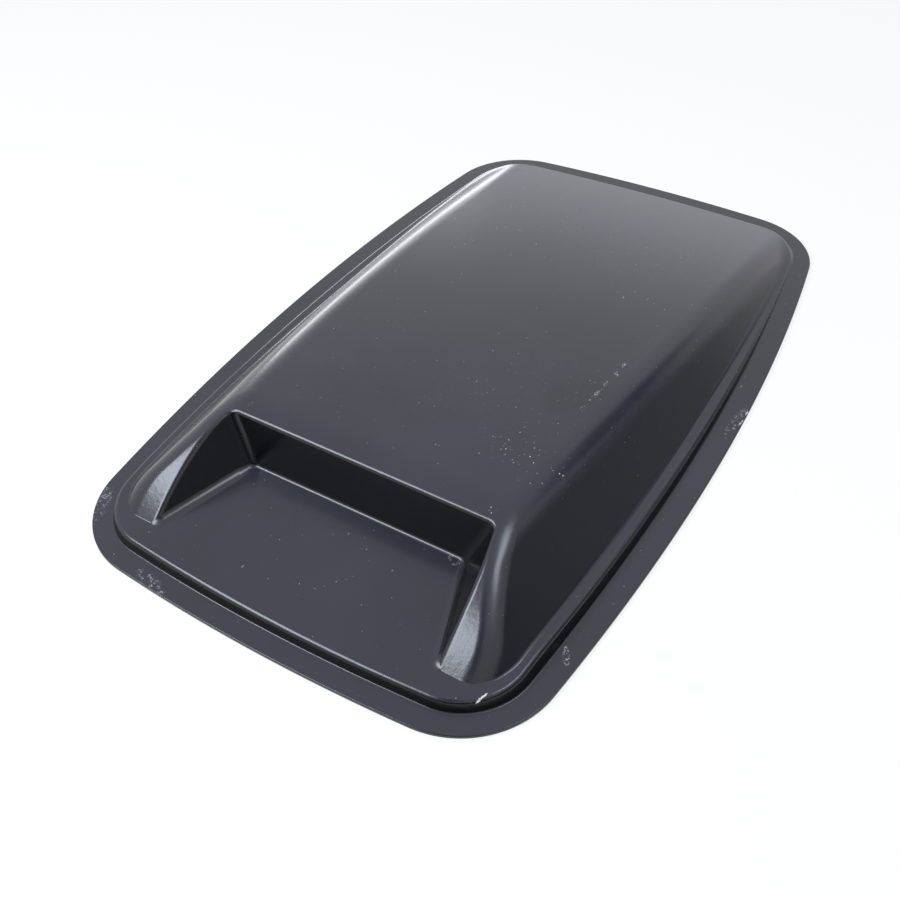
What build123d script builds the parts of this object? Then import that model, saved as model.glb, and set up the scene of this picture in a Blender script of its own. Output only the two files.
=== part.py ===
from build123d import *
from math import atan2, cos, degrees, radians, sin, sqrt, tan
import os

# Bonnet scoop: one thin laminated shell with a flat fixing flange, a low stepped plinth and a raised wedge
# body whose blind mouth faces forward (-Y). The underside of the flange lies on z = 0.

# Overall plan, millimetres
LENGTH = 680.0
WIDTH = 420.0
SKIN = 3.0
FLANGE_SIDE_BOW = 2030.0
FLANGE_END_BOW = 1570.0
FLANGE_CORNER = 75.0

# Plinth: its step rises from the flange, higher at the front than at the rear
FLANGE_AT_SIDE = 19.5
FLANGE_AT_END = 16.5
PLINTH_SIDE_BOW = 2350.0
PLINTH_CORNER = 54.0
PLINTH_FRONT = 11.0
PLINTH_REAR = 6.0
APRON_RISE = 2.6
APRON_LENGTH = 88.0
APRON_BEND = 500.0
STEP_DRAFT = 20.0
STEP_TOP_RADIUS = 2.0

# Raised body
LIP_SETBACK = 134.5
LIP_HEIGHT = 61.0
TOP_FALL_AT_LIP = 2.0
TAIL_HEIGHT = 6.8
WALL_SLOPE = 45.0
WALL_FOOT = 177.5
WALL_BOW = 2600.0
WALL_TURN = 45.0
WALL_TURN_SETBACK = 78.0
CROWN_AT_LIP = 38.0
CROWN_AT_TAIL = 110.0
NOSE_SETBACK = 46.0
NOSE_RADIUS = 415.0
FIN_RADIUS = 9.0
FOOT_RADIUS = 4.0

# Mouth recess between the two cheek fins
MOUTH_HALF_BACK = 94.0
MOUTH_SPLAY = 19.0
MOUTH_SIDE_LEAN = 28.0
MOUTH_BACK_LEAN = 10.5
MOUTH_CORNER = 11.0
LIP_RADIUS = 3.0

# Positions that follow from the sizes; the apron's plane gives way to the ledge just behind the fins' tips
FRONT = -LENGTH / 2
LIP_Y = FRONT + LIP_SETBACK
NOSE_Y = FRONT + NOSE_SETBACK
APRON_END = FRONT + APRON_LENGTH
PLINTH_END = LENGTH / 2 - FLANGE_AT_END

# Working allowances: how far cutters run past the part, and how near an edge counts as lying on a skin
REACH = LENGTH
SPARE_ANGLE = 4.0
TOUCHING = 0.01

# Spacings of the body's cross-sections: the next one is used where the roundings don't close over the last
BODY_PITCHES = (40.0, 55.0, 47.0, 34.0, 62.0)


def barrel(length, width, side_bow, end_bow, corner):
    """Outline with four bowed edges and rounded corners, centred on the origin."""
    side = width / 2 - side_bow
    end = length / 2 - end_bow
    sides = Pos(side, 0) * Circle(side_bow) & Pos(-side, 0) * Circle(side_bow)
    ends = Pos(0, end) * Circle(end_bow) & Pos(0, -end) * Circle(end_bow)
    outline = sides & ends
    return fillet(outline.vertices(), corner)


def plinth_outline(inset):
    """Foot of the step on the bonnet plane, moved in by the inset."""
    side = FLANGE_AT_SIDE + inset
    end = FLANGE_AT_END + inset
    return barrel(
        LENGTH - 2 * end,
        WIDTH - 2 * side,
        PLINTH_SIDE_BOW - inset,
        FLANGE_END_BOW - end,
        PLINTH_CORNER - inset,
    )


def apron_height(y):
    """Height of the plane of the front panel, which runs on as the mouth's floor."""
    return PLINTH_FRONT + (y + PLINTH_END) * tan(radians(APRON_RISE))


def ledge_height(y):
    """Height of the ledge beside the body, falling from the apron to the rear."""
    start = apron_height(APRON_END)
    share = (y - APRON_END) / (PLINTH_END - APRON_END)
    return start + (PLINTH_REAR - start) * share


def top_height(y):
    """Height of the body's top on the centre line: level near the lip, falling to the tail."""
    run = y - LIP_Y
    full = PLINTH_END - LIP_Y
    fall = tan(radians(TOP_FALL_AT_LIP))
    curve = (LIP_HEIGHT - TAIL_HEIGHT - fall * full) / full**2
    return LIP_HEIGHT - fall * run - curve * run**2


def wall_foot(y):
    """Half width of the body where its walls meet the ledge, turning in towards the nose."""
    turn = max(0, FRONT + WALL_TURN_SETBACK - y)
    return WALL_FOOT - y**2 / (2 * WALL_BOW) - turn**2 / (2 * WALL_TURN)


def across(profile):
    """Solid with a side-view profile drawn in y and z, right across the part."""
    return extrude(Plane.YZ * profile, amount=WIDTH, both=True)


def plinth_slab(inset):
    """Everything under the plinth's top: the apron in front, then the falling ledge."""
    bend = (APRON_END, apron_height(APRON_END) - inset)
    front = (-REACH, apron_height(-REACH) - inset)
    rear = (REACH, ledge_height(REACH) - inset)
    profile = make_face(Polyline(front, bend, rear, (REACH, -REACH), (-REACH, -REACH), close=True))
    ridge = profile.vertices().sort_by_distance(bend)[0]
    return across(fillet(ridge, APRON_BEND - inset))


def body_section(y, inset):
    """Cross-section of the body: level top, round crowns and sloping walls."""
    top = top_height(y) - inset
    slope = radians(WALL_SLOPE)
    rise = top - ledge_height(max(y, APRON_END))
    share = (y - LIP_Y) / (PLINTH_END - LIP_Y)
    crown = CROWN_AT_LIP + (CROWN_AT_TAIL - CROWN_AT_LIP) * max(share, 0) - inset
    depth = 2 * LIP_HEIGHT
    shoulder = wall_foot(y) - inset / sin(slope) - rise / tan(slope)
    base = shoulder + (top + depth) / tan(slope)
    outline = Polygon((-base, -depth), (base, -depth), (shoulder, top), (-shoulder, top), align=None)
    crowns = outline.vertices().group_by(Axis.Y)[-1]
    return Plane((0, y, 0), x_dir=(1, 0, 0), z_dir=(0, -1, 0)) * fillet(crowns, crown)


def nose(inset):
    """Everything behind the raked, slightly bulging front of the fins."""
    foot = Vector(NOSE_Y, apron_height(NOSE_Y))
    lip = Vector(LIP_Y, LIP_HEIGHT)
    chord = lip - foot
    middle = (foot + lip) / 2
    drop = sqrt(NOSE_RADIUS**2 - (chord.length / 2) ** 2)
    centre = middle + Vector(chord.Y, -chord.X).normalized() * drop
    start = degrees(atan2(lip.Y - centre.Y, lip.X - centre.X)) - SPARE_ANGLE
    end = degrees(atan2(foot.Y - centre.Y, foot.X - centre.X)) + SPARE_ANGLE
    rake = CenterArc(centre, NOSE_RADIUS - inset, start, end - start)
    high, low = rake @ 0, rake @ 1
    back = Polyline(low, (low.X, -REACH), (REACH, -REACH), (REACH, high.Y), high)
    return across(make_face(rake + back))


def mouth(inset):
    """Cutter for the recess, right down: splayed leaning sides, leaning back wall, round back corners."""
    floor = apron_height(LIP_Y) - inset
    roof = 2 * LIP_HEIGHT
    splay = tan(radians(MOUTH_SPLAY))
    side_lean = tan(radians(MOUTH_SIDE_LEAN))
    back_lean = tan(radians(MOUTH_BACK_LEAN))
    front = FRONT - REACH
    back = LIP_Y - (LIP_HEIGHT - floor) * back_lean + inset / cos(radians(MOUTH_BACK_LEAN))
    half = MOUTH_HALF_BACK + inset / cos(radians(MOUTH_SIDE_LEAN))
    levels = []
    for z in (-roof, roof):
        climb = z - floor
        y_back = back + climb * back_lean
        near = half + climb * (side_lean - back_lean * splay)
        far = near + (y_back - front) * splay
        plan = Polygon((-near, y_back), (near, y_back), (far, front), (-far, front), align=None)
        levels.append(Plane.XY.offset(z) * plan)
    block = loft(levels, ruled=True)
    upright = block.edges().filter_by(lambda e: abs((e @ 1 - e @ 0).Z) > roof)
    corners = upright.sort_by(Axis.Y)[-2:]
    return fillet(corners, MOUTH_CORNER + inset)


def below_apron(inset):
    """Everything under the plane of the front panel, so also under the mouth's floor."""
    line = [(y, apron_height(y) - inset) for y in (-REACH, REACH)]
    return across(make_face(Polyline(*line, (REACH, -REACH), (-REACH, -REACH), close=True)))


def meeting_edges(solid, first, second):
    """Edges of a solid that lie on the skins of both of the shapes that met there."""
    skins = (first.shell(), second.shell())
    return ShapeList(
        e for e in solid.edges() if all(skin.distance_to(e.position_at(0.5)) < TOUCHING for skin in skins)
    )


def raised_body(inset, pitch):
    """The wedge, as a loft through evenly spaced cross-sections that runs out under the plinth's rear."""
    start = NOSE_Y - PLINTH_FRONT
    count = int((PLINTH_END - start) / pitch) + 3
    return loft([body_section(start + i * pitch, inset) for i in range(count)])


def step_block(inset):
    """Tapering block that trims everything to the plinth's drafted step."""
    draft = radians(STEP_DRAFT)
    outline = plinth_outline(inset / cos(draft) - SKIN * tan(draft))
    return extrude(outline, amount=LIP_HEIGHT + SKIN, taper=STEP_DRAFT)


def inner_form(pitch):
    """Inner face of the skin: the outer form's surfaces moved in, with the laminate's sharp corners."""
    raised = raised_body(SKIN, pitch) & nose(SKIN)
    ground = plinth_slab(SKIN) + (raised & below_apron(SKIN))
    return step_block(SKIN) & (ground + (raised - mouth(SKIN)))


def outer_form(pitch):
    """Gel-coated face: body, nose, mouth and plinth joined with the mould's rounded edges."""
    wedge = raised_body(0, pitch)
    rake = nose(0)
    raised = wedge & rake
    raised = fillet(meeting_edges(raised, wedge, rake), FIN_RADIUS)

    cutter = mouth(0)
    opened = raised - cutter
    lip = meeting_edges(opened, raised, cutter).filter_by(lambda e: e.center().Z > 0)
    opened = fillet(lip, LIP_RADIUS)

    ground = plinth_slab(0) + (raised & below_apron(0))
    solid = ground + opened
    foot = meeting_edges(solid, ground, opened)
    solid = fillet(foot, FOOT_RADIUS)

    step = step_block(0)
    trimmed = step & solid
    tail = PLINTH_END - PLINTH_CORNER
    rim = meeting_edges(trimmed, step, solid).filter_by(lambda e: e.center().Y < tail)
    return fillet(rim, STEP_TOP_RADIUS)


def moulding(pitch):
    """The moulded form, hollowed to one skin thickness below, on the flange plate."""
    plate = extrude(barrel(LENGTH, WIDTH, FLANGE_SIDE_BOW, FLANGE_END_BOW, FLANGE_CORNER), amount=SKIN)
    return plate + outer_form(pitch) - inner_form(pitch)


def scoop_shell():
    """The shell, from the first spacing of cross-sections over which every rounding closes."""
    for pitch in BODY_PITCHES:
        try:
            shell = moulding(pitch)
        except ValueError:
            continue
        if shell.is_valid and len(shell.solids()) == 1:
            return shell
    raise ValueError("no spacing of the cross-sections takes these roundings")


if __name__ == "__main__":
    os.makedirs("parts", exist_ok=True)
    shell = scoop_shell()
    shell.label = "scoop_shell"
    export_step(shell, "parts/scoop_shell.step")
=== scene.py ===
import bpy
import math
import numpy as np
from bpy.props import FloatProperty, FloatVectorProperty, PointerProperty
from mathutils import Euler, Matrix, Vector
from mathutils.geometry import delaunay_2d_cdt


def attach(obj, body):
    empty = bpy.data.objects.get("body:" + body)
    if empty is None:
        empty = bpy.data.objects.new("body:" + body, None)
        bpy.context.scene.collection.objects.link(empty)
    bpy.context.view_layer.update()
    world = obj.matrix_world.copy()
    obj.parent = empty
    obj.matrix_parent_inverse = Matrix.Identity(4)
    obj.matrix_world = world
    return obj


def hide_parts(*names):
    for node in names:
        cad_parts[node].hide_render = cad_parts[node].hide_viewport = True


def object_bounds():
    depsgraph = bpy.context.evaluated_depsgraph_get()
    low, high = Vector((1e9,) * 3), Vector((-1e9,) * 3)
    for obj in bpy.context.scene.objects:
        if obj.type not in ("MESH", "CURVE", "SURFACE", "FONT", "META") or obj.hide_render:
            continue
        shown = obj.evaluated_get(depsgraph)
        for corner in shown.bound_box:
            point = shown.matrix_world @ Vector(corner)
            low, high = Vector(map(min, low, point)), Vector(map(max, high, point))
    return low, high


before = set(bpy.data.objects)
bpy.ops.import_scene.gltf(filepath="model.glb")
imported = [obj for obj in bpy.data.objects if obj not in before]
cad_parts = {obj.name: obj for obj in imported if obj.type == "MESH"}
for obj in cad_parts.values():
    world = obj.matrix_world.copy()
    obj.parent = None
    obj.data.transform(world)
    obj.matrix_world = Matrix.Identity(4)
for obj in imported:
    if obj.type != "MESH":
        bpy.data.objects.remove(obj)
CAD_BOX = [list(corner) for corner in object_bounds()]
SKIN_NODE = "scoop_shell"

bl_info = {
    "name": "Bonnet Scoop",
    "version": (1, 0, 0),
    "blender": (4, 5, 0),
    "location": "View3D > Sidebar > Scoop",
    "description": "Builds a gel-coated bonnet scoop over its packed frame",
    "category": "Add Mesh",
}


# Wear on the gel coat, in metres: two ends of each patch in plan, its half width and, if set, its strength

SMUDGES = (
    ((0.097, -0.079), (0.109, -0.034), 0.014, 0.3),
    ((0.02, 0.03), (0.06, 0.09), 0.03, 0.12),
)
DUST = (
    ((0.104, -0.14), (0.128, -0.146), 0.01, 1.6),
    ((0.085, -0.128), (0.125, -0.148), 0.02, 0.6),
    ((0.03, -0.12), (0.1, -0.04), 0.05, 0.12),
    ((0.101, -0.196), (0.109, -0.203), 0.004, 1.0),
    ((-0.104, -0.201), (-0.099, -0.195), 0.004, 0.9),
)
SCUFFS = (
    ((0.1115, -0.0735), (0.1125, -0.0675), 0.0016, 1.0),
    ((0.1125, -0.0595), (0.1145, -0.0405), 0.0016, 1.0),
    ((0.1145, -0.0365), (0.1135, -0.0285), 0.0016, 0.9),
    ((0.1155, -0.0215), (0.1165, -0.0135), 0.0024, 0.9),
    ((0.1165, -0.0065), (0.1155, 0.0065), 0.0016, 0.9),
    ((-0.172, -0.317), (-0.185, -0.28), 0.008, 0.55),
    ((-0.108, -0.3285), (-0.078, -0.335), 0.005, 0.5),
    ((0.182, -0.233), (0.19, -0.247), 0.0022, 1.0),
    ((0.203, 0.01), (0.207, 0.05), 0.004, 0.5),
    ((0.083, -0.2155), (0.092, -0.219), 0.003, 1.0),
)
CHIPS = (
    ((0.2086, 0.026), (0.2096, 0.034), 0.0008),
    ((0.209, 0.04), (0.2096, 0.046), 0.0007),
    ((0.058, -0.3396), (0.062, -0.3394), 0.0008),
    ((0.1549, -0.3035), (0.1585, -0.2945), 0.0008),
)

# How far the edges of the wear stray, in metres

STRAY = 0.0014

# Roundings in the fields, for each metre of radius: one less the cosine of the angle between the two faces

FIN_TURN = 0.41
MOUTH_TURN = 0.74
LIP_TURN = 0.7
FOOT_TURN = 0.293
FLARE_TURN = 0.185
STEP_TURN = 0.66

# Soft bend of the plinth's top, and the body's foot rounding as it grows towards the rear sides, in metres

LEDGE_BEND = 0.0008
FOOT_GROWTH = 0.003
GROWTH_LENGTH = 0.2
GROWTH_SIDE = 0.1
GROWTH_WIDTH = 0.05

# Creases round the mouth's floor, for each metre of foot radius: at the back wall, and what the sides add

CREASE_AT_BACK = 0.55
CREASE_GAIN = 0.7
CREASE_RUN = 0.012

# Search for heights: its upper end as a share of the lip's height, and how often it halves the rest

HEADROOM = 1.2
HALVINGS = 32

# Rings of points: how many on a quarter's side, corner and end, and how far they lie in from the step's root

RING_COUNTS = (110, 44, 66)
ROOT_INSETS = (-0.005, -0.0025, -0.0014, -0.0007, -0.0002)
STEP_SHARES = (0.1, 0.3, 0.5, 0.7, 0.85, 1.0)
RIM_INSETS = (0.0005, 0.001, 0.0016, 0.0024, 0.0034, 0.0048)
BARE_SHARES = (0.02, 0.3, 0.6, 0.9, 1.1)
BARE_INSETS = (0.001, 0.002, 0.004)
RING_MARGIN = 0.0055

# Points inside the rings: widest and closest spacing, and how far the form may bend between them

GEL_SPACING = (0.016, 0.0009, 0.00005)
BARE_SPACING = (0.016, 0.002, 0.0003)

# Least upward part of a normal from which a slope is worked out

LEAST_UPWARD = 0.02

# Material slots of the shell, and the refraction of its resin

GEL, BARE = 0, 1
RESIN_IOR = 1.5

# Floor of the studio, in metres

FLOOR_REACH = 12.0
FLOOR_DROP = 0.0005


# Properties

def length(name, default, description):
    """A size in metres."""
    return FloatProperty(name=name, description=description, default=default, unit="LENGTH", precision=4)


def angle(name, degrees, description):
    """An angle, shown in degrees."""
    return FloatProperty(
        name=name, description=description, default=math.radians(degrees), subtype="ANGLE", unit="ROTATION"
    )


def amount(name, default, description):
    """A plain number."""
    return FloatProperty(name=name, description=description, default=default, precision=3)


def colour(name, default, description):
    """A linear colour."""
    return FloatVectorProperty(
        name=name, description=description, default=default, subtype="COLOR", size=3, min=0.0, max=1.0
    )


def setting_names(group):
    """Names of a property group's own settings."""
    return [key for key in group.bl_rna.properties.keys() if key not in ("rna_type", "name")]


class ScoopSizes(bpy.types.PropertyGroup):
    """Sizes of the moulding, close to its CAD model's, with some edges rounded more as in the photograph."""

    overall_length: length("Length", CAD_BOX[1][1] - CAD_BOX[0][1], "Flange from front to rear")
    overall_width: length("Width", CAD_BOX[1][0] - CAD_BOX[0][0], "Flange from side to side")
    skin: length("Skin", 0.003, "Thickness of the laminate")
    flange_side_bow: length("Flange side bow", 2.03, "Radius of the flange's long edges")
    flange_end_bow: length("Flange end bow", 1.57, "Radius of the flange's short edges")
    flange_corner: length("Flange corner", 0.075, "Radius of the flange's corners")
    flange_edge: length("Flange edge", 0.0008, "Rounding of the flange's trimmed edge")
    flange_at_side: length("Flange at side", 0.0195, "Width of the flange along the sides")
    flange_at_end: length("Flange at end", 0.0165, "Width of the flange at front and rear")
    plinth_side_bow: length("Plinth side bow", 2.35, "Radius of the plinth's long edges")
    plinth_corner: length("Plinth corner", 0.054, "Radius of the plinth's corners")
    plinth_front: length("Plinth front", 0.011, "Height of the plinth at its front edge")
    plinth_rear: length("Plinth rear", 0.0042, "Height of the plinth at its rear edge")
    apron_rise: angle("Apron rise", 2.6, "Slope of the front panel and the mouth's floor")
    apron_length: length("Apron length", 0.088, "Front of the flange to the bend of the plinth's top")
    step_draft: angle("Step draft", 20.0, "Lean of the plinth's step")
    step_top: length("Step rim", 0.0034, "Rounding of the step's upper edge")
    step_root: length("Step root", 0.0012, "Rounding where the step meets the flange")
    lip_setback: length("Lip setback", 0.1345, "Front of the flange to the mouth's lip")
    lip_height: length("Lip height", 0.061, "Height of the mouth's lip")
    top_fall: angle("Top fall", 2.0, "Slope of the body's top just behind the lip")
    tail_height: length("Tail height", 0.0052, "Height of the body's top at the plinth's rear edge")
    wall_slope: angle("Wall slope", 45.0, "Slope of the body's walls at the lip")
    wall_slope_tail: angle("Wall slope at tail", 50.0, "Slope of the body's walls at the tail")
    wall_foot: length("Wall foot", 0.1775, "Half width of the body on the ledge")
    wall_bow: length("Wall bow", 2.6, "Radius of the walls' foot in plan, ahead of the middle")
    wall_bow_rear: length("Rear wall bow", 4.3, "Radius of the walls' foot in plan, behind the middle")
    wall_turn: length("Wall turn", 0.045, "Radius of the walls' turn towards the nose")
    wall_turn_setback: length("Wall turn setback", 0.078, "Front of the flange to the start of that turn")
    crown_at_lip: length("Crown at lip", 0.038, "Radius of the body's crowns at the lip")
    crown_at_tail: length("Crown at tail", 0.045, "Radius of the body's crowns at the tail")
    nose_setback: length("Nose setback", 0.0435, "Front of the flange to the foot of the fins")
    nose_radius: length("Nose radius", 0.30, "Radius of the fins' raked fronts, seen from the side")
    fin_radius: length("Fin radius", 0.018, "Rounding between the fins' fronts and the body's walls")
    foot_radius: length("Foot radius", 0.004, "Rounding where walls meet the ledge and the mouth's floor")
    flare_radius: length("Flare radius", 0.002, "Rounding at the foot of the fins' fronts")
    mouth_half_back: length("Mouth half width", 0.094, "Half width of the mouth's floor at the back")
    mouth_splay: angle("Mouth splay", 19.0, "Splay of the mouth's sides in plan")
    mouth_side_lean: angle("Mouth side lean", 28.0, "Lean of the mouth's sides")
    mouth_back_lean: angle("Mouth back lean", 10.5, "Lean of the mouth's back wall")
    mouth_corner: length("Mouth corner", 0.007, "Radius of the mouth's back corners")
    lip_radius: length("Lip radius", 0.0038, "Rounding of the mouth's lip")


class ScoopFinish(bpy.types.PropertyGroup):
    """Colours and wear of the gel coat and of the bare laminate underneath."""

    gel_colour: colour("Gel coat", (0.0024, 0.0025, 0.0034), "Colour of the clean gel coat")
    haze_colour: colour("Haze", (0.175, 0.178, 0.285), "Colour of the thin film of dust")
    speck_colour: colour("Specks", (0.62, 0.62, 0.63), "Colour of dust specks and scuffs")
    chip_colour: colour("Chips", (0.70, 0.70, 0.68), "Colour of the laminate where the gel coat is chipped")
    gloss_roughness: amount("Gloss roughness", 0.2, "Roughness of the clean gel coat")
    haze: amount("Haze", 0.096, "Share of the surface that the dust film covers")
    laminate_colour: colour("Laminate", (0.085, 0.088, 0.078), "Colour of the resin underneath")
    strand_colour: colour("Strands", (0.21, 0.215, 0.19), "Colour of the glass strands underneath")


class ScoopStudio(bpy.types.PropertyGroup):
    """Light, floor and camera."""

    world_level: amount("World level", 0.42, "Even light from all round")
    key_watts: amount("Key watts", 27.0, "Power of the soft box in front and to the left")
    top_watts: amount("Top watts", 6.5, "Power of the soft box above and to the right")
    panel_watts: amount("Panel watts", 5.5, "Power of the panel behind and to the left")
    strip_watts: amount("Strip watts", 5.0, "Power of the low strip behind and to the left")
    rear_watts: amount("Rear watts", 5.0, "Power of the long panel behind")
    floor_white: amount("Floor white", 0.8, "Share of plain white that the camera sees in the floor")
    floor_colour: colour("Floor", (0.93, 0.93, 0.93), "Colour of the floor")
    lens: FloatProperty(name="Lens", description="Focal length in millimetres", default=39.29, unit="CAMERA")
    camera_place: FloatVectorProperty(
        name="Camera place",
        description="Where the camera stands",
        default=(0.3186, -0.5836, 0.5475),
        subtype="TRANSLATION",
        unit="LENGTH",
    )
    camera_turn: FloatVectorProperty(
        name="Camera turn",
        description="Tip, roll and heading of the camera",
        default=[math.radians(turn) for turn in (45.5657, 1.2973, 31.1408)],
        subtype="EULER",
        unit="ROTATION",
    )


# Form

def round_max(a, b, radius):
    """The larger of two fields, with the edge between them rounded."""
    inside = np.minimum(np.maximum(a, b), -radius)
    return inside + np.hypot(np.maximum(a + radius, 0), np.maximum(b + radius, 0))


def round_min(a, b, radius):
    """The smaller of two fields, with the crease between them rounded."""
    return -round_max(-a, -b, radius)


def progress(value, start, run):
    """How far a value has come along a run, from none to one."""
    return np.clip((value - start) / run, 0, 1)


def ease(part):
    """Progress with a soft start and end."""
    return part * part * (3 - 2 * part)


class Barrel:
    """Plan outline with four bowed edges and rounded corners."""

    def __init__(self, long, wide, side_bow, end_bow, corner):
        self.side_bow, self.end_bow, self.corner = side_bow, end_bow, corner
        self.side_x = wide / 2 - side_bow
        self.end_y = long / 2 - end_bow
        a, b = side_bow - corner, end_bow - corner
        gap = math.hypot(self.side_x, self.end_y)
        along = (a * a - b * b + gap * gap) / (2 * gap)
        off = math.sqrt(a * a - along * along)
        ux, uy = -self.side_x / gap, self.end_y / gap
        self.cx = self.side_x + along * ux - off * uy
        self.cy = along * uy + off * ux
        if self.cx < 0 or self.cy < 0:
            self.cx = self.side_x + along * ux + off * uy
            self.cy = along * uy - off * ux
        self.low = math.atan2(self.cy, self.cx - self.side_x)
        self.high = math.atan2(self.cy - self.end_y, self.cx)

    def distance(self, x, y):
        """Distance outside the outline, negative inside."""
        ax, ay = np.abs(x), np.abs(y)
        side = np.hypot(ax - self.side_x, ay) - self.side_bow
        end = np.hypot(ax, ay - self.end_y) - self.end_bow
        turn = np.arctan2(ay - self.cy, ax - self.cx)
        at_corner = (turn > self.low) & (turn < self.high)
        corner = np.hypot(ax - self.cx, ay - self.cy) - self.corner
        return np.where(at_corner, corner, np.maximum(side, end))

    def outline(self, side_count, corner_count, end_count):
        """Points right round the outline and the outward directions there."""
        arcs = (
            ((self.side_x, 0.0), self.side_bow, 0.0, self.low, side_count),
            ((self.cx, self.cy), self.corner, self.low, self.high, corner_count),
            ((0.0, self.end_y), self.end_bow, self.high, math.pi / 2, end_count),
        )
        points, ways = [], []
        for centre, radius, first, last, count in arcs:
            turn = np.linspace(first, last, count, endpoint=False)
            way = np.column_stack((np.cos(turn), np.sin(turn)))
            points.append(np.array(centre) + radius * way)
            ways.append(way)
        quarter = np.vstack((*points, [[0.0, self.end_y + self.end_bow]]))
        quarter_ways = np.vstack((*ways, [[0.0, 1.0]]))
        flip = np.array([-1.0, 1.0])
        half = np.vstack((quarter, quarter[-2::-1] * flip))
        half_ways = np.vstack((quarter_ways, quarter_ways[-2::-1] * flip))
        return np.vstack((half, -half[1:-1])), np.vstack((half_ways, -half_ways[1:-1]))


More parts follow.
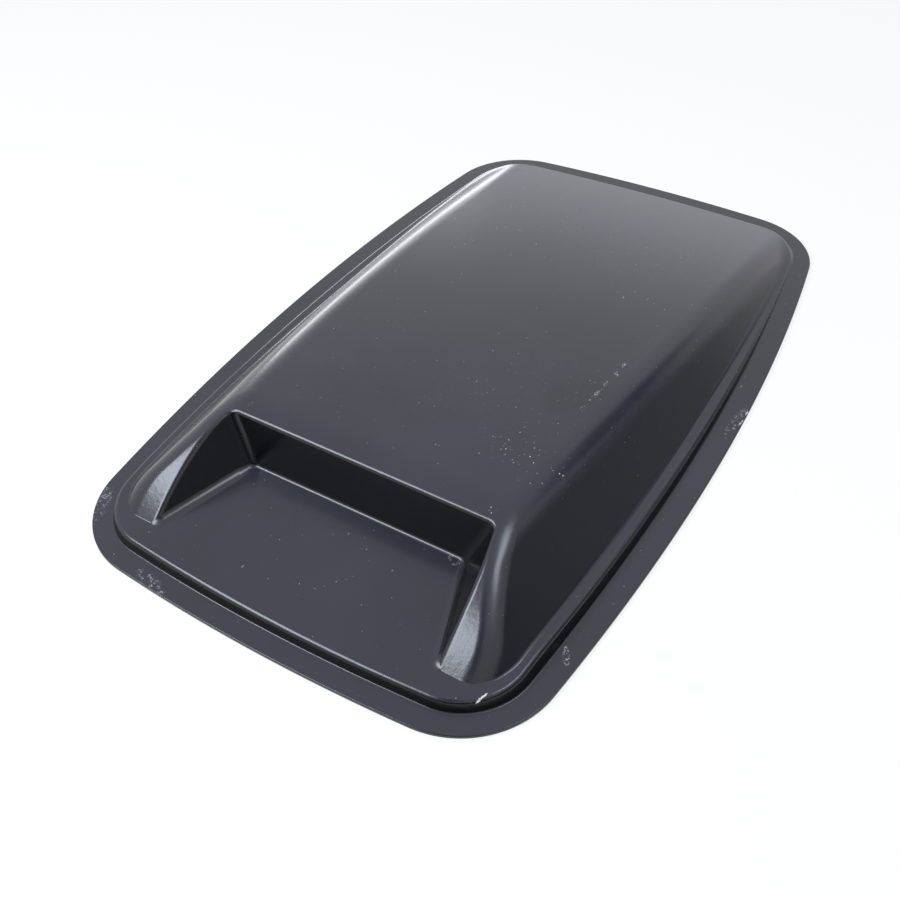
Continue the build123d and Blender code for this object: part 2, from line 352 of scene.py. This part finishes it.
class ScoopForm:
    """The moulding as distance fields: below zero in the solid, above zero in the air."""

    def __init__(self, sizes):
        for key in setting_names(sizes):
            setattr(self, key, getattr(sizes, key))
        self.front = -self.overall_length / 2
        self.lip_y = self.front + self.lip_setback
        self.nose_y = self.front + self.nose_setback
        self.apron_end = self.front + self.apron_length
        self.plinth_end = self.overall_length / 2 - self.flange_at_end
        self.flange = Barrel(
            self.overall_length,
            self.overall_width,
            self.flange_side_bow,
            self.flange_end_bow,
            self.flange_corner,
        )
        self.plinth = Barrel(
            self.overall_length - 2 * self.flange_at_end,
            self.overall_width - 2 * self.flange_at_side,
            self.plinth_side_bow,
            self.flange_end_bow - self.flange_at_end,
            self.plinth_corner,
        )
        low = np.array([self.nose_y, self.apron(self.nose_y)])
        high = np.array([self.lip_y, self.lip_height])
        chord = high - low
        reach = np.hypot(*chord)
        drop = math.sqrt(self.nose_radius**2 - (reach / 2) ** 2)
        self.nose_centre = (low + high) / 2 + np.array([chord[1], -chord[0]]) / reach * drop

    def apron(self, y):
        """Height of the front panel's plane, which runs on as the mouth's floor."""
        return self.plinth_front + (y + self.plinth_end) * math.tan(self.apron_rise)

    def ledge(self, y):
        """Height of the plinth's top: the apron, then the falling ledge beside the body."""
        start = self.apron(self.apron_end)
        fall = start + (self.plinth_rear - start) * (y - self.apron_end) / (self.plinth_end - self.apron_end)
        apron = self.apron(y)
        near = np.maximum(LEDGE_BEND - np.abs(apron - fall), 0) / LEDGE_BEND
        return np.minimum(apron, fall) - near * near * LEDGE_BEND / 4

    def step_width(self, y):
        """How far the step leans in between the flange and the ledge."""
        return (self.ledge(y) - self.skin) * math.tan(self.step_draft)

    def top(self, y):
        """Height of the body's top on the centre line."""
        run = y - self.lip_y
        full = self.plinth_end - self.lip_y
        fall = math.tan(self.top_fall)
        curve = (self.lip_height - self.tail_height - fall * full) / full**2
        return self.lip_height - fall * run - curve * run**2

    def body(self, x, y, z):
        """Wedge with level top, round crowns and sloping walls."""
        share = np.maximum((y - self.lip_y) / (self.plinth_end - self.lip_y), 0)
        crown = self.crown_at_lip + (self.crown_at_tail - self.crown_at_lip) * share
        turn = np.maximum(self.front + self.wall_turn_setback - y, 0)
        bow = np.where(y < 0, self.wall_bow, self.wall_bow_rear)
        foot = self.wall_foot - y**2 / (2 * bow) - turn**2 / (2 * self.wall_turn)
        slope = self.wall_slope + (self.wall_slope_tail - self.wall_slope) * share
        top = self.top(y)
        shoulder = foot - (top - self.ledge(np.maximum(y, self.apron_end))) / np.tan(slope)
        across = np.abs(x) - (shoulder - crown * np.tan(slope / 2))
        up = z - (top - crown)
        turned = np.arctan2(across, up)
        wall = (np.abs(x) - shoulder) * np.sin(slope) + (z - top) * np.cos(slope)
        flat = z - top
        round_part = np.hypot(across, up) - crown
        return np.where(turned <= 0, flat, np.where(turned >= slope, wall, round_part))

    def raised(self, x, y, z):
        """Body with the raked, slightly bulging fronts of the fins."""
        ahead = np.minimum(y - self.nose_centre[0], 0)
        nose = np.hypot(ahead, z - self.nose_centre[1]) - self.nose_radius
        return round_max(self.body(x, y, z), nose, FIN_TURN * self.fin_radius)

    def mouth_walls(self, x, y, z):
        """Distances in from the mouth's back wall and from its nearer side."""
        floor = self.apron(self.lip_y)
        splay, side_lean = math.tan(self.mouth_splay), math.tan(self.mouth_side_lean)
        back_lean = math.tan(self.mouth_back_lean)
        back = self.lip_y - (self.lip_height - floor) * back_lean
        climb = z - floor
        behind = (back + climb * back_lean - y) * math.cos(self.mouth_back_lean)
        half = self.mouth_half_back + climb * side_lean + (back - y) * splay
        beside = (half - np.abs(x)) / math.sqrt(1 + splay**2 + side_lean**2)
        return behind, beside

    def foot(self, x, y):
        """Rounding at the body's foot: larger towards the rear sides, smaller at the fins' tips."""
        growth = progress(y, 0.0, GROWTH_LENGTH) * progress(np.abs(x), GROWTH_SIDE, GROWTH_WIDTH)
        plain = FOOT_TURN * self.foot_radius + FOOT_GROWTH * ease(growth)
        ahead = self.front + self.wall_turn_setback - y
        tips = progress(ahead, 0.0, self.wall_turn_setback - self.nose_setback)
        return plain + (FLARE_TURN * self.flare_radius - plain) * ease(tips)

    def moulding(self, x, y, z):
        """Everything above the flange: body, nose, mouth and plinth, trimmed by the step."""
        raised = self.raised(x, y, z)
        behind, beside = self.mouth_walls(x, y, z)
        hollow = round_min(behind, beside, MOUTH_TURN * self.mouth_corner)
        opened = round_max(raised, hollow, LIP_TURN * self.lip_radius)
        floor = np.maximum(z - self.apron(y), -hollow - self.mouth_corner)
        ground = np.minimum(z - self.ledge(y), floor)
        outside = self.foot(x, y)
        aside = progress(behind - beside, 0.0, CREASE_RUN)
        crease = self.foot_radius * (CREASE_AT_BACK + CREASE_GAIN * aside)
        within = progress(hollow - raised, -self.mouth_corner / 2, self.mouth_corner)
        solid = round_min(opened, ground, outside + (crease - outside) * within)
        draft = self.step_draft
        step = (self.plinth.distance(x, y) + (z - self.skin) * math.tan(draft)) * math.cos(draft)
        return round_max(solid, step, STEP_TURN * self.step_top)

    def outer(self, x, y, z):
        """Gel-coated face: the moulding on the flange's top."""
        return round_min(self.moulding(x, y, z), z - self.skin, STEP_TURN * self.step_root)

    def inner(self, x, y, z):
        """Bare face of the laminate, one skin below the moulding."""
        return self.moulding(x, y, z) + self.skin

    def heights(self, field, plan):
        """Height of a field's zero level over points of the plan, by halving."""
        x, y = plan[:, 0], plan[:, 1]
        low = np.zeros(len(plan))
        high = np.full(len(plan), HEADROOM * self.lip_height)
        for _ in range(HALVINGS):
            middle = (low + high) / 2
            solid = field(x, y, middle) < 0
            low = np.where(solid, middle, low)
            high = np.where(solid, high, middle)
        return (low + high) / 2

    def normals(self, field, points):
        """Outward directions of a field at points."""
        step = 2e-5
        x, y, z = points.T
        slope = np.column_stack((
            field(x + step, y, z) - field(x - step, y, z),
            field(x, y + step, z) - field(x, y - step, z),
            field(x, y, z + step) - field(x, y, z - step),
        ))
        return slope / np.linalg.norm(slope, axis=1)[:, None]

    def spread(self, field, margin, coarse, fine, error):
        """Plan points within a margin of the step's top, closer together where the field bends."""
        xs = np.arange(-self.overall_width / 2, self.overall_width / 2, coarse) + coarse / 2
        ys = np.arange(self.front, -self.front, coarse) + coarse / 2
        cells = np.column_stack([grid.ravel() for grid in np.meshgrid(xs, ys)])
        corners = np.array([[-0.5, -0.5], [0.5, -0.5], [0.5, 0.5], [-0.5, 0.5]])
        size = coarse
        kept = []
        while len(cells):
            cells = cells[self.plinth.distance(cells[:, 0], cells[:, 1]) < size]
            around = (cells[:, None, :] + corners * size).reshape(-1, 2)
            kept.append(around)
            if size <= fine:
                break
            z = self.heights(field, around)
            way = self.normals(field, np.column_stack((around, z)))
            tilt = -way[:, :2] / np.maximum(way[:, 2:], LEAST_UPWARD)
            middle = self.heights(field, cells)
            offset = np.tile(-corners * size, (len(cells), 1))
            guess = (z + (tilt * offset).sum(1)).reshape(-1, 4)
            bent = np.abs(guess - middle[:, None]).max(1) > error
            size /= 2
            cells = (cells[bent][:, None, :] + corners * size).reshape(-1, 2)
        points = np.unique(np.round(np.vstack(kept), 6), axis=0)
        x, y = points.T
        return points[self.plinth.distance(x, y) < -(self.step_width(y) + margin)]


class SkinMesh:
    """Collects vertices and faces of the shell."""

    def __init__(self):
        self.points, self.ways, self.faces, self.finish = [], [], [], []
        self.count = 0

    def add(self, points, ways):
        """Adds points with their normals and gives their numbers."""
        self.points.append(points)
        self.ways.append(ways)
        first = self.count
        self.count += len(points)
        return np.arange(first, self.count)

    def cover(self, form, field, plan, sign):
        """Adds the points of a field's surface over the plan, facing outward or inward by the sign."""
        points = np.column_stack((plan, form.heights(field, plan)))
        return self.add(points, sign * form.normals(field, points))

    def bridge(self, outer, inner, finish):
        """Quads between two rings of the same number of points."""
        a, b = np.roll(outer, -1), np.roll(inner, -1)
        self.faces += np.column_stack((outer, a, b, inner)).tolist()
        self.finish += [finish] * len(outer)

    def fill(self, ring, ring_plan, plan, numbers, finish, turned):
        """Triangles inside a ring through scattered points."""
        coords = np.vstack((ring_plan, plan)).tolist()
        _, _, tris, originals, _, _ = delaunay_2d_cdt(coords, [], [list(range(len(ring)))], 1, 1e-7)
        if not tris:
            raise RuntimeError("no faces were made inside the step")
        known = np.concatenate((ring, numbers))
        for tri in tris:
            face = [int(known[originals[v][0]]) for v in tri]
            self.faces.append(face[::-1] if turned else face)
            self.finish.append(finish)

    def build(self, name, materials):
        """Makes the object, smooth, with the fields' own directions as its normals."""
        mesh = bpy.data.meshes.new(name)
        mesh.from_pydata(np.vstack(self.points).tolist(), [], self.faces)
        for material in materials:
            mesh.materials.append(material)
        mesh.polygons.foreach_set("material_index", self.finish)
        mesh.polygons.foreach_set("use_smooth", [True] * len(self.faces))
        mesh.validate()
        mesh.normals_split_custom_set_from_vertices(np.vstack(self.ways).tolist())
        mesh.update()
        made = bpy.data.objects.new(name, mesh)
        bpy.context.scene.collection.objects.link(made)
        return made


# Shaders

class Wire:
    """A shader socket that can be used in sums."""

    def __init__(self, bench, socket):
        self.bench = bench
        self.socket = socket

    def beside(self, name):
        """Another output of the same node."""
        return Wire(self.bench, self.socket.node.outputs[name])

    def sum(self, operation, *terms):
        """A Math node on links or plain numbers."""
        return self.bench.node("ShaderNodeMath", {"operation": operation}, dict(enumerate(terms)))

    def __add__(self, other):
        return self.sum("ADD", self, other)

    def __radd__(self, other):
        return self.sum("ADD", other, self)

    def __sub__(self, other):
        return self.sum("SUBTRACT", self, other)

    def __rsub__(self, other):
        return self.sum("SUBTRACT", other, self)

    def __mul__(self, other):
        return self.sum("MULTIPLY", self, other)

    def __rmul__(self, other):
        return self.sum("MULTIPLY", other, self)

    def __truediv__(self, other):
        return self.sum("DIVIDE", self, other)

    def __rtruediv__(self, other):
        return self.sum("DIVIDE", other, self)

    def __abs__(self):
        return self.sum("ABSOLUTE", self)


class Bench:
    """Adds nodes to one node tree."""

    def __init__(self, tree):
        self.tree = tree
        tree.nodes.clear()

    def node(self, kind, settings=None, sockets=None, output=0):
        """A node of one kind: its settings first, then values or links of its sockets."""
        made = self.tree.nodes.new(kind)
        for key, value in (settings or {}).items():
            setattr(made, key, value)
        for key, value in (sockets or {}).items():
            if isinstance(value, Wire):
                self.tree.links.new(value.socket, made.inputs[key])
            else:
                made.inputs[key].default_value = value
        return Wire(self, made.outputs[output]) if made.outputs else None

    def seen(self):
        """One for rays from the camera, for reflections and through glass, none for the light itself."""
        camera = self.node("ShaderNodeLightPath", output="Is Camera Ray")
        glossy, clear = camera.beside("Is Glossy Ray"), camera.beside("Is Transmission Ray")
        settings = {"operation": "ADD", "use_clamp": True}
        return self.node("ShaderNodeMath", settings, {0: camera + glossy, 1: clear})

    def mix(self, share, first, second):
        """One colour laid over another."""
        settings = {"data_type": "RGBA", "clamp_factor": True}
        return self.node("ShaderNodeMix", settings, {0: share, 6: first, 7: second}, 2)

    def range(self, value, low, high, to_low=0.0, to_high=1.0):
        """A value carried smoothly from one range to another."""
        settings = {"interpolation_type": "SMOOTHSTEP"}
        return self.node("ShaderNodeMapRange", settings, {0: value, 1: low, 2: high, 3: to_low, 4: to_high})

    def vector(self, operation, *terms, output="Vector"):
        """A Vector Math node on links or plain vectors."""
        return self.node("ShaderNodeVectorMath", {"operation": operation}, dict(enumerate(terms)), output)

    def noise(self, place, scale, detail=2.0, roughness=0.5, distortion=0.0, output=0):
        """Cloudy noise, finer with a larger scale."""
        looks = {"Scale": scale, "Detail": detail, "Roughness": roughness, "Distortion": distortion}
        return self.node("ShaderNodeTexNoise", {}, {"Vector": place, **looks}, output)

    def turned(self, place, turn, scale):
        """Places turned about the upright axis and stretched."""
        sockets = {"Vector": place, "Rotation": (0.0, 0.0, turn), "Scale": scale}
        return self.node("ShaderNodeMapping", {}, sockets)

    def coat(self, shade, rough, relief, strength, depth):
        """Closes a material with its colour, roughness and relief."""
        bumped = self.node("ShaderNodeBump", {}, {"Strength": strength, "Distance": depth, "Height": relief})
        looks = {"Base Color": shade, "Roughness": rough, "Normal": bumped, "IOR": RESIN_IOR}
        self.close(self.node("ShaderNodeBsdfPrincipled", {}, looks))

    def close(self, shader, kind="ShaderNodeOutputMaterial"):
        """Leads a shader to the output."""
        self.node(kind, {}, {"Surface": shader})


def new_material(name):
    """An empty material and the bench for its nodes."""
    material = bpy.data.materials.new(name)
    material.use_nodes = True
    return material, Bench(material.node_tree)


def opaque(rgb):
    """A colour property with its alpha."""
    return (*rgb, 1.0)


def patch(bench, plan, first, last, inner, outer):
    """One within a long round patch between two points of the plan, fading between two half widths."""
    reach = math.dist(first, last)
    from_first = bench.vector("DISTANCE", plan, (*first, 0.0), output="Value")
    from_last = bench.vector("DISTANCE", plan, (*last, 0.0), output="Value")
    near, far = math.hypot(reach, 2 * inner), math.hypot(reach, 2 * outer)
    return bench.range(from_first + from_last, near, far, 1.0, 0.0)


def specks(bench, place, scale, share, size):
    """Scattered dust grains: the share of the cells that hold one, and its size in cells."""
    near = bench.node("ShaderNodeTexVoronoi", {}, {"Vector": place, "Scale": scale})
    chance = bench.node("ShaderNodeSeparateColor", {}, {0: near.beside("Color")})
    kind = chance.beside("Green")
    held = bench.range(chance, 1 - share, 1 - 0.8 * share)
    grain = bench.range(near / (0.4 + kind), 0.4 * size, size, 1.0, 0.0)
    return held * grain * (0.15 + 0.85 * kind * kind)


def gel_coat(look):
    """Black gel coat with a soft gloss, a thin film of dust, grains, scuffs and chips."""
    material, bench = new_material("gel_coat_black")
    place = bench.node("ShaderNodeTexCoord", output="Object")
    outward = bench.node("ShaderNodeNewGeometry", output="Normal")
    tilt = bench.node("ShaderNodeSeparateXYZ", {}, {0: outward}, "Z")
    upward = bench.range(tilt, 0.55, 1.0)
    forward = bench.range(0.0 - tilt.beside("Y"), 0.25, 0.5) * bench.range(tilt, 0.25, 0.45)
    cloud = bench.noise(place, 7.0, 5.0, 0.6)
    grit = bench.noise(place, 900.0, 3.0, 0.7)
    peel = bench.noise(place, 260.0)
    wave = bench.noise(place, 24.0, 1.0)
    shift = bench.noise(place, 600.0, output="Color")
    stray = bench.vector("MULTIPLY_ADD", shift, (STRAY, STRAY, STRAY), place)
    plan = bench.vector("MULTIPLY", stray, (1.0, 1.0, 0.0))
    hairs = bench.turned(stray, 0.7, (1.0, 0.3, 1.0))

    film = look.haze * upward * (0.5 + cloud)
    for first, last, half, strength in SMUDGES:
        film = film * (1 - strength * patch(bench, plan, first, last, 0.0, 2 * half))
    dust = specks(bench, stray, 420.0, 0.07, 0.17) + 0.6 * specks(bench, hairs, 260.0, 0.06, 0.12)
    dust = dust * bench.range(cloud, 0.3, 0.7, 0.3, 0.9) * (0.06 + 0.94 * upward)
    heavy = specks(bench, stray, 420.0, 0.5, 0.24)
    for first, last, half, strength in DUST:
        dust = dust + strength * heavy * patch(bench, plan, first, last, 0.0, 1.5 * half)
    broken = bench.range(grit, 0.5, 0.63) * bench.range(peel, 0.45, 0.6)
    scuffed = 0.0
    for first, last, half, strength in SCUFFS:
        scuffed = strength * broken * patch(bench, plan, first, last, 0.0, 1.3 * half) + scuffed
    ragged = bench.range(grit, 0.42, 0.52)
    chipped = 0.0
    for first, last, half in CHIPS:
        chipped = ragged * patch(bench, plan, first, last, 0.2 * half, half) + chipped

    shade = bench.mix(film, opaque(look.gel_colour), opaque(look.haze_colour))
    shade = bench.mix(dust + scuffed, shade, opaque(look.speck_colour))
    shade = bench.mix(chipped, shade, opaque(look.chip_colour))
    rough = look.gloss_roughness + 0.1 * cloud * cloud + 0.4 * (dust + scuffed + chipped)
    relief = (0.25 + 0.9 * forward) * peel + wave
    bench.coat(shade, rough, relief, 0.18, 0.0004)
    return material


def laminate(look):
    """Bare resin with chopped glass strands, as the mould's back face is left."""
    material, bench = new_material("glass_laminate")
    place = bench.node("ShaderNodeTexCoord", output="Object")
    strands = 0.0
    for turn, squeeze in ((0.3, 240.0), (1.4, 210.0), (2.4, 260.0)):
        laid = bench.turned(place, turn, (squeeze, 0.12 * squeeze, 60.0))
        strands = bench.range(bench.noise(laid, 1.0, 3.0, distortion=0.4), 0.5, 0.66) + strands
    resin = bench.noise(place, 30.0, 4.0)
    shade = bench.mix(0.3 * strands + 0.25 * resin, opaque(look.laminate_colour), opaque(look.strand_colour))
    bench.coat(shade, 0.35 + 0.25 * resin, 0.5 * strands + resin, 0.7, 0.0008)
    return material


# Studio

def facing(place, aim):
    """Placement of a lamp or card that faces a point."""
    way = Vector(aim) - Vector(place)
    return Matrix.Translation(place) @ way.to_track_quat("-Z", "Y").to_matrix().to_4x4()


def plate(name, wide, tall, material):
    """Flat stage piece, given by its half width and half height."""
    mesh = bpy.data.meshes.new(name)
    corners = [(-wide, -tall, 0), (wide, -tall, 0), (wide, tall, 0), (-wide, tall, 0)]
    mesh.from_pydata(corners, [], [(0, 1, 2, 3)])
    mesh.materials.append(material)
    made = bpy.data.objects.new(name, mesh)
    bpy.context.scene.collection.objects.link(made)
    return made


def floor_paint(studio):
    """Matt pale floor that shows nearly white to the camera and keeps the shadow."""
    material, bench = new_material("studio_floor")
    matt = bench.node("ShaderNodeBsdfDiffuse", {}, {"Color": opaque(studio.floor_colour)})
    white = bench.node("ShaderNodeEmission", {}, {"Color": (1, 1, 1, 1), "Strength": 1.0})
    share = studio.floor_white * bench.seen()
    bench.close(bench.node("ShaderNodeMixShader", {}, {0: share, 1: matt, 2: white}))
    return material


def card_paint(name, wide, tall, shade):
    """Matt card whose edges fade away."""
    material, bench = new_material(name)
    spot = bench.node("ShaderNodeTexCoord", output="Object")
    across = bench.node("ShaderNodeSeparateXYZ", {}, {0: spot}, "X")
    sides = bench.range(abs(across), 0.5 * wide, wide, 1.0, 0.0)
    ends = bench.range(abs(across.beside("Y")), 0.6 * tall, tall, 1.0, 0.0)
    matt = bench.node("ShaderNodeBsdfDiffuse", {}, {"Color": shade})
    clear = bench.node("ShaderNodeBsdfTransparent")
    bench.close(bench.node("ShaderNodeMixShader", {}, {0: sides * ends, 1: clear, 2: matt}))
    return material


# Operators

class SCOOP_OT_shell(bpy.types.Operator):
    """Build the moulded shell with its flange, step, mouth and bare underside"""

    bl_idname = "scoop.shell"
    bl_label = "Moulded Shell"

    def execute(self, context):
        form = ScoopForm(context.scene.scoop_sizes)
        look = context.scene.scoop_finish
        mesh = SkinMesh()
        foot = self.gel_face(form, mesh)
        self.bare_face(form, mesh, foot)
        shell = mesh.build("scoop_skin", [gel_coat(look), laminate(look)])
        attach(shell, "root")
        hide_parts(SKIN_NODE)
        return {"FINISHED"}

    def gel_face(self, form, mesh):
        """Edge and top of the flange, the step and all within it; gives the ring at the flange's foot."""
        rings = self.flange_rings(form, mesh)
        root, ways = form.plinth.outline(*RING_COUNTS)
        width = form.step_width(root[:, 1])
        insets = [np.full(len(root), inset) for inset in ROOT_INSETS]
        insets += [share * width for share in STEP_SHARES]
        insets += [width + inset for inset in RIM_INSETS]
        for inset in insets:
            plan = root - inset[:, None] * ways
            rings.append(mesh.cover(form, form.outer, plan, 1))
        for first, second in zip(rings, rings[1:]):
            mesh.bridge(first, second, GEL)
        inside = form.spread(form.outer, RING_MARGIN, *GEL_SPACING)
        numbers = mesh.cover(form, form.outer, inside, 1)
        mesh.fill(rings[-1], plan, inside, numbers, GEL, False)
        return rings[0]

    def flange_rings(self, form, mesh):
        """Rings up the flange's rounded edge: how far in, how high, and how the edge leans there."""
        rim, ways = form.flange.outline(*RING_COUNTS)
        edge, skin = form.flange_edge, form.skin
        lie, stand = math.pi / 2, 0.0
        rows = (
            (0.5 * edge, 0.0, -lie),
            (0.0, 0.5 * edge, stand),
            (0.0, skin - edge, stand),
            (0.3 * edge, skin - 0.3 * edge, lie / 2),
            (edge, skin, lie),
        )
        rings = []
        for inset, z, lean in rows:
            points = np.column_stack((rim - inset * ways, np.full(len(rim), z)))
            out = np.column_stack((math.cos(lean) * ways, np.full(len(rim), math.sin(lean))))
            rings.append(mesh.add(points, out))
        return rings

    def bare_face(self, form, mesh, foot):
        """Underside of the flange, and the bare laminate that follows the moulding one skin below."""
        root, ways = form.plinth.outline(*RING_COUNTS)
        width = form.step_width(root[:, 1])
        opening = form.skin / math.cos(form.step_draft) - form.skin * math.tan(form.step_draft)
        flat = np.column_stack((root - opening * ways, np.zeros(len(root))))
        rings = [foot, mesh.add(flat, np.zeros_like(flat))]
        insets = [opening + share * width for share in BARE_SHARES]
        insets += [opening + width + inset for inset in BARE_INSETS]
        for inset in insets:
            plan = root - inset[:, None] * ways
            rings.append(mesh.cover(form, form.inner, plan, -1))
        for first, second in zip(rings, rings[1:]):
            mesh.bridge(second, first, BARE)
        inside = form.spread(form.inner, opening + RING_MARGIN, *BARE_SPACING)
        numbers = mesh.cover(form, form.inner, inside, -1)
        mesh.fill(rings[-1], plan, inside, numbers, BARE, True)


class SCOOP_OT_stage(bpy.types.Operator):
    """Lay the floor, set the lights and place the camera"""

    bl_idname = "scoop.stage"
    bl_label = "Floor, Lights and Camera"

    def execute(self, context):
        studio = context.scene.scoop_studio
        floor = plate("floor", FLOOR_REACH, FLOOR_REACH, floor_paint(studio))
        floor.location.z = -FLOOR_DROP
        self.light_world(context, studio)
        self.hang_lights(context, studio)
        self.hang_cards()
        self.place_camera(context, studio)
        context.scene.view_settings.view_transform = "Standard"
        return {"FINISHED"}

    def light_world(self, context, studio):
        """Even light on the part, and plain white where the world itself is seen."""
        world = bpy.data.worlds.new("studio_world")
        world.use_nodes = True
        context.scene.world = world
        bench = Bench(world.node_tree)
        level = studio.world_level
        light = bench.node("ShaderNodeBackground", {}, {"Color": (1, 1, 1, 1), "Strength": level})
        white = bench.node("ShaderNodeBackground", {}, {"Color": (1, 1, 1, 1), "Strength": 1.0})
        shader = bench.node("ShaderNodeMixShader", {}, {0: bench.seen(), 1: light, 2: white})
        bench.close(shader, "ShaderNodeOutputWorld")

    def hang_lights(self, context, studio):
        """Soft boxes above the front and long low panels behind: place, aim, size, power and tint."""
        cool, plain, lilac = (0.80, 0.88, 1.0), (0.91, 0.94, 1.0), (0.80, 0.79, 1.0)
        lights = (
            ("soft_box", (-0.72, -1.04, 1.21), (0.0, -0.27, 0.03), (1.1, 0.62), studio.key_watts, cool),
            ("top_box", (0.62, 0.06, 1.45), (0.0, -0.2, 0.03), (0.75, 0.35), studio.top_watts, cool),
            ("rear_panel", (-0.3, 3.0, 0.5), (0.0, 0.1, 0.1), (3.0, 0.9), studio.rear_watts, lilac),
            ("side_panel", (-1.95, 2.0, 0.42), (-0.1, 0.1, 0.03), (1.6, 0.8), studio.panel_watts, plain),
            ("low_strip", (-1.55, 1.53, 0.13), (-0.15, 0.1, 0.03), (1.2, 0.25), studio.strip_watts, plain),
        )
        for name, place, aim, size, watts, tint in lights:
            lamp = bpy.data.lights.new(name, "AREA")
            lamp.shape = "RECTANGLE"
            lamp.size, lamp.size_y = size
            lamp.energy = watts
            lamp.color = tint
            made = bpy.data.objects.new(name, lamp)
            context.scene.collection.objects.link(made)
            made.matrix_world = facing(place, aim)

    def hang_cards(self):
        """Dark cards round the dim side of the studio, which only reflections show."""
        grey, dim, black = (0.5, 0.5, 0.52, 1), (0.28, 0.28, 0.29, 1), (0.02, 0.02, 0.02, 1)
        cards = (
            ("card_rear_right", (1.52, 0.99, 0.5), (0.1, 0.0, 0.05), (1.05, 0.8), grey),
            ("card_high_right", (0.8, 1.5, 1.3), (0.13, 0.0, 0.05), (0.5, 0.45), black),
            ("card_right", (1.6, -0.5, 0.3), (0.0, -0.3, 0.05), (1.5, 0.7), dim),
            ("card_front", (0.7, -2.0, 0.3), (0.0, -0.3, 0.05), (1.6, 0.7), black),
            ("card_above", (0.2, -1.0, 1.25), (0.13, -0.27, 0.03), (0.28, 0.55), black),
        )
        for name, place, aim, half_size, shade in cards:
            card = plate(name, *half_size, card_paint(name, *half_size, shade))
            card.matrix_world = facing(place, aim)
            card.visible_camera = False
            card.visible_diffuse = False
            card.visible_shadow = False

    def place_camera(self, context, studio):
        """Camera at the photograph's angle."""
        data = bpy.data.cameras.new("photo_camera")
        data.sensor_width = 36.0
        data.lens = studio.lens
        data.clip_start = 0.01
        camera = bpy.data.objects.new("photo_camera", data)
        context.scene.collection.objects.link(camera)
        turn = Euler(studio.camera_turn).to_matrix().to_4x4()
        camera.matrix_world = Matrix.Translation(studio.camera_place) @ turn
        context.scene.camera = camera


class SCOOP_PT_sidebar(bpy.types.Panel):
    """Lists the scoop's pieces and sizes"""

    bl_label = "Bonnet Scoop"
    bl_idname = "SCOOP_PT_sidebar"
    bl_space_type = "VIEW_3D"
    bl_region_type = "UI"
    bl_category = "Scoop"

    def draw(self, context):
        for operator in OPERATORS:
            self.layout.operator(operator.bl_idname)
        for group in (context.scene.scoop_sizes, context.scene.scoop_finish, context.scene.scoop_studio):
            box = self.layout.box()
            for key in setting_names(group):
                box.prop(group, key)


OPERATORS = (SCOOP_OT_shell, SCOOP_OT_stage)
CLASSES = (ScoopSizes, ScoopFinish, ScoopStudio, *OPERATORS, SCOOP_PT_sidebar)


def register():
    for cls in CLASSES:
        bpy.utils.register_class(cls)
    bpy.types.Scene.scoop_sizes = PointerProperty(type=ScoopSizes)
    bpy.types.Scene.scoop_finish = PointerProperty(type=ScoopFinish)
    bpy.types.Scene.scoop_studio = PointerProperty(type=ScoopStudio)


def unregister():
    del bpy.types.Scene.scoop_studio
    del bpy.types.Scene.scoop_finish
    del bpy.types.Scene.scoop_sizes
    for cls in reversed(CLASSES):
        bpy.utils.unregister_class(cls)


def main():
    register()
    bpy.ops.scoop.shell()
    bpy.ops.scoop.stage()


if __name__ == "__main__":
    main()
